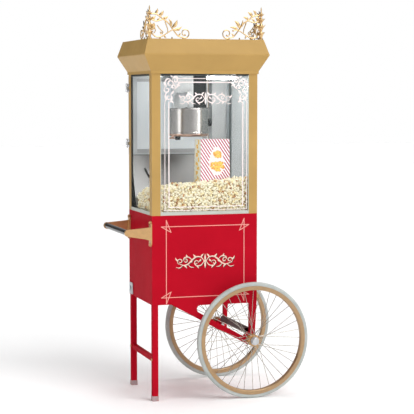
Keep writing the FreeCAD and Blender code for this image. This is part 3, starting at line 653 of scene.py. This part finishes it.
def popcorn(looks):
    """The heap as loose kernels over a dark core that paints the shade in the gaps."""
    chance = numpy.random.default_rng(11)
    kinds = 12
    shapes, ball_faces = kernel_shapes(chance, kinds)
    vertices = []
    faces = []
    slots = []
    for index, place in enumerate(kernel_places(chance)):
        turn = numpy.linalg.qr(chance.normal(size=(3, 3)))[0]
        radius = chance.uniform(7.2, 9.4)
        vertices.append(shapes[index % kinds] @ turn * radius + place)
        faces.append(ball_faces + index * len(shapes[0]))
        slot = chance.choice([0, 1, 2], p=[0.73, 0.21, 0.06])
        slots.append(numpy.full(len(ball_faces), slot))
    points = numpy.concatenate(vertices) / 1000 + numpy.array([LEFT, FRONT, 0.0])
    data = bpy.data.meshes.new("popcorn")
    data.from_pydata(points, [], numpy.concatenate(faces))
    data.polygons.foreach_set("material_index", numpy.concatenate(slots).astype(numpy.int32))
    data.shade_smooth()
    for key in ("corn", "butter", "toasted"):
        data.materials.append(looks[key].material)
    heap = bpy.data.objects.new("popcorn", data)
    bpy.context.scene.collection.objects.link(heap)
    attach(heap, "cart")
    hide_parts("popcorn_heap")
    popcorn_core(looks)


def popcorn_core(looks):
    """Painted shade: a dark mass just under the loose kernels, standing for the shade in the gaps
    between them.
    """
    core = Shape()
    rings = []
    for x in (22.0, 237.0, RIGHT - 22.0):
        ring = [(24.0, 809.0), (270.0, 809.0), (288.0, 855.0)]
        ring += [(y, heap_height(x, y) - 18) for y in (235.0, 150.0, 60.0, 24.0)]
        rings.append([Vector((x, y, z)) for y, z in ring])
    core.ring_strip(rings)
    core.finish("popcorn_core", [looks["crumb"]], "cart")


# -------------------------------------------------------------- ornaments


def wing(shape, place, normal, stretch):
    """One arm of a corner ornament: place maps (along, up) to cabinet space."""
    def spot(u, v):
        return place(u * stretch, v)

    def stroke(path, thick, thin):
        count = len(path) - 1
        radii = [thick + (thin - thick) * k / count for k in range(count + 1)]
        shape.sweep([spot(*p) for p in path], radii, 0.85, normal)

    crest = smooth_path([(3, 103), (24, 104), (42, 96), (58, 84), (74, 73), (88, 60), (100, 43),
                         (112, 27), (126, 12), (142, 7)])
    tendril = smooth_path([(34, 56), (42, 44), (54, 32)])
    foot = smooth_path([(6, 30), (14, 18), (28, 8), (46, 7), (60, 13), (78, 24), (96, 35),
                        (112, 40), (126, 37)])
    stroke(crest + spiral((156, 24), 22, 10, -128, 268, 30)[1:], 3.3, 2.2)
    shape.bead(spot(156, 16), 4.2)
    stroke(smooth_path([(8, 80), (28, 73), (44, 76), (60, 80), (70, 74)]), 2.6, 2.0)
    stroke(foot, 3.0, 2.0)
    stroke(smooth_path([(68, 72), (74, 56), (79, 42), (80, 26)]), 2.6, 2.0)
    stroke(tendril + spiral((52, 25), 8, 3, 70, -250), 2.4, 1.8)
    stroke(smooth_path([(12, 60), (22, 46), (26, 32), (18, 22)]), 2.6, 2.0)
    shape.bead(spot(52, 25), 3.2)
    shape.bead(spot(128, 37), 4.0)
    for u in (46, 99, 147):
        stroke([Vector((u, 7.5)), Vector((u, 0.2))], 2.4, 3.6)
    leaves = [((98, 46), (122, 80), 15), ((104, 38), (143, 52), 12), ((96, 50), (84, 84), 10),
              ((40, 96), (62, 118), 13), ((24, 104), (36, 126), 11), ((4, 36), (22, 66), 17),
              ((58, 84), (82, 96), 11), ((64, 16), (74, 2), 7), ((30, 74), (46, 90), 8),
              ((6, 78), (26, 96), 12), ((126, 12), (136, 26), 7)]
    for base, tip, width in leaves:
        shape.leaf(spot(*base), spot(*tip), width, normal)


def corner_ornament(side, looks):
    """Gilt scrollwork standing on one front corner of the dome."""
    shape = Shape()
    mirror = 1 if side == "left" else -1
    x0 = -ORNAMENT_OUT if side == "left" else RIGHT + ORNAMENT_OUT

    def along_front(u, v):
        return Vector((x0 + mirror * u, -ORNAMENT_OUT, DOME_TOP + v))

    def along_side(u, v):
        return Vector((x0, -ORNAMENT_OUT + u, DOME_TOP + v))

    wing(shape, along_front, Vector((0, 1, 0)), 1.0)
    wing(shape, along_side, Vector((1, 0, 0)), 0.83)
    profile = [(0.05, 0.2), (9, 0.2), (9, 4), (5, 8), (7.5, 16), (10, 24), (6, 32), (4, 38),
               (8, 46), (10.5, 55), (7, 64), (4, 70), (6.5, 77), (8, 84), (5, 92), (3.2, 98),
               (6, 104), (6.5, 110), (3.5, 117), (2.2, 123), (3.2, 128), (2.0, 134), (0.05, 141)]
    shape.lathe(profile, Vector((x0, -ORNAMENT_OUT, DOME_TOP)), sides=16)
    for height, reach, width in ((18, 20, 12), (46, 24, 13), (76, 20, 11), (100, 15, 8)):
        for turn in range(8):
            angle = math.radians(45 * turn + height)
            out = Vector((math.cos(angle), math.sin(angle), 0.0))
            base = Vector((x0, -ORNAMENT_OUT, DOME_TOP + height)) + out * 4
            tip = base + out * reach * 0.7 + Vector((0, 0, reach * 0.8))
            upward = out.cross(Vector((0, 0, 1))).cross(out).normalized()
            shape.leaf(base, tip, width * 0.8, upward, 0.0)
    shape.finish("ornament_" + side, [looks["filigree"]], "cart",
                 ["corner_ornament_" + side])


# -------------------------------------------------------- painted artwork


def ink(shape, path, widths, level):
    """Flat painted stroke on a plane that faces the front; level is its y."""
    points = [Vector((p[0], level, p[1])) for p in path]
    shape.sweep(points, widths, 0.06, Vector((0, 1, 0)))


def tapered(count, widest, thin=0.35):
    """Brush widths that swell in the middle of a stroke."""
    return [widest * (thin + (1 - thin) * math.sin(math.pi * k / (count - 1)))
            for k in range(count)]


def straight(shape, a, b, width, level, depth=0.3):
    """Flat painted line with square ends."""
    a, b = Vector(a), Vector(b)
    along = (b - a).normalized() * (width / 2)
    side = Vector((-along.y, along.x))
    corners = [a - along - side, b - side, b + side, a - along + side]
    shape.plate([Vector((c.x, level, c.y)) for c in corners], depth, Vector((0, -1, 0)))


def pinstripes(looks):
    """Star-cornered rectangle painted on the front panel.

    The strokes that cross have different depths, so no two faces coincide.
    """
    shape = Shape()
    line = 3.4
    middle_x, middle_z = 239.25, 601.9
    for mirror_x in (False, True):
        for mirror_z in (False, True):
            def put(x, z):
                return (2 * middle_x - x if mirror_x else x, 2 * middle_z - z if mirror_z else z)

            straight(shape, put(63, 782), put(84, 731), line, STRIPE_LEVEL, 0.30)
            straight(shape, put(84, 731), put(41, 755), line, STRIPE_LEVEL, 0.36)
            straight(shape, put(41, 755), put(middle_x, 755), line, STRIPE_LEVEL, 0.42)
            straight(shape, put(63, 782), put(63, middle_z), line, STRIPE_LEVEL, 0.48)
    shape.finish("pinstripes", [looks["pinstripe"]], "cart")


def scrollwork(shape, centre, size, level, weight):
    """Symmetric band of scrolls and leaves; size is half its width and half its height."""
    front = Vector((0, 1, 0))
    strokes = [
        ([(0.03, 0.0), (0.14, 0.55), (0.30, 0.62), (0.44, 0.2), (0.58, -0.35), (0.74, -0.5),
          (0.9, -0.2)], 1.0),
        ([(0.03, 0.0), (0.14, -0.55), (0.29, -0.62), (0.38, -0.25)], 0.8),
        ([(0.44, 0.2), (0.56, 0.62), (0.70, 0.55), (0.74, 0.15)], 0.8),
        ([(0.58, -0.35), (0.50, -0.75), (0.38, -0.85)], 0.6),
        ([(0.74, -0.5), (0.86, -0.85), (0.98, -0.75)], 0.6),
    ]
    curls = [((0.30, -0.22), 0.085, 180, -200), ((0.66, 0.10), 0.085, 0, 400),
             ((0.84, 0.05), 0.1, -60, 340)]
    leaves = [((0.14, 0.5), (0.05, 1.0), 6), ((0.30, 0.62), (0.40, 1.0), 6),
              ((0.58, 0.6), (0.64, 1.0), 5), ((0.30, -0.62), (0.22, -1.0), 5),
              ((0.72, -0.5), (0.62, -0.95), 6), ((0.9, 0.1), (1.0, 0.6), 6),
              ((0.44, 0.2), (0.5, -0.15), 6), ((0.14, 0.3), (0.22, -0.05), 6)]
    for side in (-1, 1):
        def spot(p):
            return (centre[0] + side * p[0] * size[0], centre[1] + p[1] * size[1])

        for path, strength in strokes:
            curve = smooth_path([spot(p) for p in path], 8)
            ink(shape, curve, tapered(len(curve), 2.9 * weight * strength), level)
        for middle, radius, start, end in curls:
            winding = spiral((0, 0), radius * size[0], radius * size[0] * 0.25, start, end, 26)
            curve = [Vector(spot(middle)) + Vector((side * p.x, p.y)) for p in winding]
            ink(shape, curve, tapered(len(curve), 1.9 * weight), level)
        for base, tip, width in leaves:
            a, b = spot(base), spot(tip)
            shape.leaf(Vector((a[0], level, a[1])), Vector((b[0], level, b[1])), width * weight,
                       front, 0.12 * side, 0.06)
    middle = Vector((centre[0], level, centre[1]))
    for tip in ((0.0, 1.0), (0.0, -1.0), (0.055, 0.0), (-0.055, 0.0)):
        end = Vector((centre[0] + tip[0] * size[0], level, centre[1] + tip[1] * size[1]))
        shape.leaf(middle, end, 7 * weight, front, 0.0, 0.06)


def wagon_artwork(looks):
    """Cream scrollwork with a black drop shadow on the front panel."""
    shape = Shape()
    shape.slot = 1
    scrollwork(shape, (240.0, 599.5), (134.0, 31.0), SHADOW_LEVEL, 1.1)
    shape.slot = 0
    scrollwork(shape, (237.5, 602.0), (134.0, 31.0), CREAM_LEVEL, 1.0)
    shape.finish("wagon_scrollwork", [looks["cream"], looks["shadow"]], "cart")


def glass_artwork(looks):
    """Printed frame, corner scrolls and centre scrollwork on the front glass."""
    shape = Shape()
    middle_x = 242.75
    lines = [((58, 824), (58, 1290), 2.6, 0.25), ((76, 838), (76, 1284), 4.6, 0.25),
             ((58, 824), (middle_x, 824), 2.6, 0.19), ((76, 838), (middle_x, 838), 3.4, 0.19),
             ((112, 1388), (middle_x, 1388), 2.6, 0.25), ((118, 1372), (middle_x, 1372), 5.0, 0.25)]
    curls = [((82, 1366), 17, -90, 330), ((105, 1380), 13, 180, -220), ((68, 1340), 15, 90, 500),
             ((76, 1308), 13, 60, -330), ((96, 1352), 10, -30, 350)]
    paths = [[(58, 1288), (64, 1300), (60, 1318), (70, 1330)],
             [(66, 1356), (60, 1372), (70, 1386), (86, 1384)],
             [(74, 1284), (86, 1292), (90, 1306), (84, 1322)],
             [(118, 1388), (108, 1396), (94, 1392)],
             [(100, 1342), (112, 1352), (122, 1368), (136, 1372)]]
    leaves = [((86, 1322), (98, 1338), 8), ((60, 1356), (52, 1372), 8),
              ((110, 1362), (128, 1358), 8), ((86, 1294), (98, 1286), 8),
              ((92, 1392), (82, 1402), 6)]
    for mirror in (False, True):
        def put(x, z):
            return (2 * middle_x - x if mirror else x, z)

        for start, end, width, depth in lines:
            straight(shape, put(*start), put(*end), width, GLASS_LEVEL, depth)
        for middle, radius, start, end in curls:
            curve = [Vector(put(middle[0] + p.x, middle[1] + p.y))
                     for p in spiral((0, 0), radius, radius * 0.3, start, end, 28)]
            ink(shape, curve, tapered(len(curve), 3.0), SCROLL_LEVEL)
        for path in paths:
            curve = smooth_path([put(*p) for p in path], 8)
            ink(shape, curve, tapered(len(curve), 3.2), SCROLL_LEVEL)
        for base, tip, width in leaves:
            a, b = put(*base), put(*tip)
            shape.leaf(Vector((a[0], SCROLL_LEVEL, a[1])), Vector((b[0], SCROLL_LEVEL, b[1])),
                       width, Vector((0, 1, 0)), 0.1, 0.05)
    scrollwork(shape, (240.0, 1303.0), (119.0, 27.0), SCROLL_LEVEL, 1.05)
    shape.finish("glass_artwork", [looks["decal"]], "cart")


# ------------------------------------------------------- chamber fittings


def box(shape, x0, x1, y0, y1, z0, z1):
    """Rectangular bar between two corners."""
    outline = [Vector((x, y, z0)) for x, y in ((x0, y0), (x1, y0), (x1, y1), (x0, y1))]
    shape.plate(outline, z1 - z0, Vector((0, 0, 1)))


def liners(looks):
    """Steel lining of the rear posts and rails, with dark seams."""
    shape = Shape()
    for x0, x1, z0, z1 in ((7.0, 38.0, 1048.0, GLASS_TOP), (38.0, 375.5, 1048.0, 1057.0),
                           (38.0, 375.5, 1391.0, GLASS_TOP),
                           (440.6, RIGHT - 7.0, 1048.0, GLASS_TOP)):
        box(shape, x0, x1, 382.4, 383.8, z0, z1)
    box(shape, RIGHT - 8.0, RIGHT - 7.0, 349.0, 382.4, 819.0, GLASS_TOP)
    box(shape, 7.0, 8.0, 349.0, 382.4, 819.0, GLASS_TOP)
    shape.slot = 1
    box(shape, 8.0, 375.5, 381.6, 382.4, 1047.2, 1049.4)
    box(shape, RIGHT - 9.6, RIGHT - 8.0, 346.5, 349.5, 819.0, GLASS_TOP)
    box(shape, 7.0, 9.0, 345.5, 349.5, 819.0, GLASS_TOP)
    shape.finish("rear_liners", [looks["liner"], looks["seam"]], "cart")


def gaskets(looks):
    """Rubber strips where the panes meet the front posts, and dark seams around the panes."""
    sides = ((0.9, 2.2), (RIGHT - 2.2, RIGHT - 0.9))
    shape = Shape()
    box(shape, 38.0, 41.0, 0.9, 2.2, CHANNEL_TOP, GLASS_TOP)
    box(shape, RIGHT - 41.0, RIGHT - 38.0, 0.9, 2.2, CHANNEL_TOP, GLASS_TOP)
    for x0, x1 in sides:
        box(shape, x0, x1, 38.0, 41.0, CHANNEL_TOP, GLASS_TOP)
    shape.slot = 1
    for x0, x1 in sides:
        box(shape, x0, x1, 343.5, 347.8, CHANNEL_TOP, GLASS_TOP)
        box(shape, x0, x1, 41.0, 343.5, 1399.0, GLASS_TOP)
    box(shape, 41.0, RIGHT - 41.0, 0.9, 2.2, 1400.0, GLASS_TOP)
    shape.finish("pane_gaskets", [looks["pale_rubber"], looks["seam"]], "cart")


def kettle_trim(looks):
    """Rolled rim, base band and rivets of the kettle."""
    shape = Shape()
    rim_r, rim_z, roll = 89.5, 1257.2, 2.6
    angles = [k * math.pi / 5 for k in range(10)]
    rolled = [(rim_r + roll * math.cos(a), rim_z + roll * math.sin(a)) for a in angles]
    shape.lathe(rolled, KETTLE, sides=96)
    band = [(88.05, 1149.5), (88.9, 1150.5), (88.9, 1153.5), (88.05, 1154.5)]
    shape.lathe(band, KETTLE, sides=96)
    for turn in (-12, 12):
        for z in (1180.0, 1214.0):
            angle = math.radians(turn)
            place = Vector((KETTLE_R * math.cos(angle), KETTLE_R * math.sin(angle), z))
            shape.bead(KETTLE + place, 3.2, (0.5, 1, 1))
    shape.finish("kettle_trim", [looks["mirror"]], "kettle")


# ----------------------------------------------------------------- carton


def card_point(u, v, z):
    """Point on the turned carton: u across, v deep, both from -1 to 1."""
    part = (z - CARTON.z) / CARTON_H
    x = u * (75.0 - 3.0 * part)
    y = v * (28.0 - 2.0 * part)
    return Vector((CARTON.x + x * math.cos(CARTON_TURN) - y * math.sin(CARTON_TURN),
                   CARTON.y + x * math.sin(CARTON_TURN) + y * math.cos(CARTON_TURN), z))


def flake(shape, centre, across, up, out, size, chance):
    """Flat printed flake: a round of overlapping petals."""
    for _ in range(5):
        turn = chance.uniform(0, 2 * math.pi)
        shift = (across * math.cos(turn) + up * math.sin(turn)) * size * 0.55
        radius = size * chance.uniform(0.4, 0.6)
        outline = [centre + shift + (across * math.cos(a) + up * math.sin(a)) * radius
                   for a in (k * math.pi / 6 for k in range(12))]
        shape.plate(outline, 0.25 + chance.uniform(0.0, 0.1), out)


def card_walls(shape):
    """Striped front and back, yellow ends and a white floor."""
    low, top = 930.5, 1127.0
    walls = [((-1, -1), (1, -1), 0), ((1, 1), (-1, 1), 0),
             ((-1, 1), (-1, -1), 1), ((1, -1), (1, 1), 1)]
    for (a, b), (c, d), slot in walls:
        shape.slot = slot
        outline = [card_point(a, b, low), card_point(c, d, low),
                   card_point(c, d, top), card_point(a, b, top)]
        inward = card_point(0, 0, 1000) - (outline[0] + outline[1]) / 2
        inward.z = 0
        shape.plate(outline, 1.1, inward.normalized())
    shape.slot = 2
    floor = [card_point(u, v, low + 0.3) for u, v in ((-1, -1), (1, -1), (1, 1), (-1, 1))]
    shape.plate(floor, 1.0, Vector((0, 0, 1)))


def front_print(shape, chance):
    """White oval with a scalloped edge and a heap of printed flakes."""
    across = (card_point(1, -1, 1000) - card_point(-1, -1, 1000)).normalized()
    up = (card_point(0, -1, 1100) - card_point(0, -1, 1000)).normalized()
    out = across.cross(up)
    middle = card_point(0.09, -1, 1032)
    oval = []
    for k in range(60):
        turn = 2 * math.pi * k / 60
        pulse = 1.0 + 0.035 * math.cos(10 * turn)
        wide = 38.0 - 8.0 * math.sin(turn)
        oval.append(middle + across * wide * pulse * math.cos(turn)
                    + up * 62 * pulse * math.sin(turn))
    shape.plate(oval, 0.25, out)
    places = [(-11, 34), (2, 36), (12, 33), (-9, 21), (4, 22), (13, 20), (-24, -12), (-10, -10),
              (3, -12), (16, -10), (28, -14), (-27, -26), (-12, -28), (2, -25), (15, -28),
              (28, -26), (-8, -39), (8, -40)]
    for slot, reach, rise, size, depth in ((4, 1.0, 0, 9.5, 0.25), (3, 0.8, 1, 7.0, 0.5)):
        shape.slot = slot
        for du, dv in places:
            spot = middle + across * (2 + du) * reach + up * (dv + rise) + out * depth
            flake(shape, spot, across, up, out, size, chance)


def end_print(shape, chance):
    """Column of flakes on both ends."""
    up = (card_point(0, -1, 1100) - card_point(0, -1, 1000)).normalized()
    back = (card_point(-1, 1, 1000) - card_point(-1, -1, 1000)).normalized()
    for k in range(10):
        lean = 0.22 * (-1) ** k
        for end, side in ((-1, -1), (1, 1)):
            spot = card_point(end, lean, 944 + 19 * k)
            flake(shape, spot, back, up, back.cross(up) * side, 10.0, chance)


def carton(looks):
    """Open serving box of printed card."""
    chance = random.Random(5)
    shape = Shape()
    card_walls(shape)
    front_print(shape, chance)
    end_print(shape, chance)
    used = [looks[key] for key in ("stripes", "yellow_card", "plain_card", "flake", "toasted_ink")]
    shape.finish("carton", used, "cart", ["serving_carton"], 20.0)


# -------------------------------------------------------------- the build

camera()
studio()
looks = palette()
dress(looks)
popcorn(looks)
corner_ornament("left", looks)
corner_ornament("right", looks)
pinstripes(looks)
wagon_artwork(looks)
glass_artwork(looks)
carton(looks)
liners(looks)
gaskets(looks)
kettle_trim(looks)
